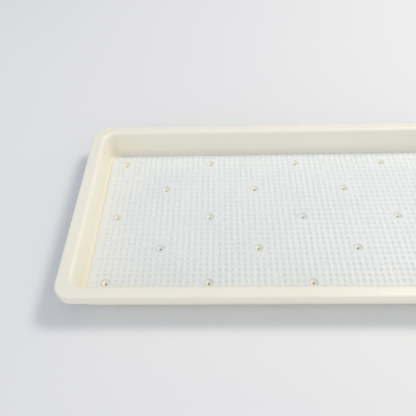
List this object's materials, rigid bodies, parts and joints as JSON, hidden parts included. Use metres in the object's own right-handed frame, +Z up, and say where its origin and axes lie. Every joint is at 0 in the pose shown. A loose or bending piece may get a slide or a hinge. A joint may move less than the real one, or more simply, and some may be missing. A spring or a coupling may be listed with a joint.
{
  "type": "seedling propagation tray",
  "caption": "Shallow rectangular propagation tray with a turned-down rim, hollow drain posts and a lift-out white waffle mat.",
  "frame": {"origin": "centre of the tray's underside, on the surface that it stands on", "axes": "+X along the tray's length, +Y across it, +Z up out of the open top"},
  "size_m": [0.378, 0.18, 0.03],
  "materials": {
    "cream_plastic": "satin moulded cream polypropylene",
    "white_plastic": "slightly translucent natural white polyethylene"
  },
  "bodies": {
    "tray_body": {"tray": "cream_plastic"},
    "mat_body": {"waffle_mat": "white_plastic"}
  },
  "joints": [
    {"name": "mat_lift", "type": "slide", "parent": "tray_body", "child": "mat_body", "axis": [0, 0, 1], "range_m": [0, 0.05]}
  ]
}
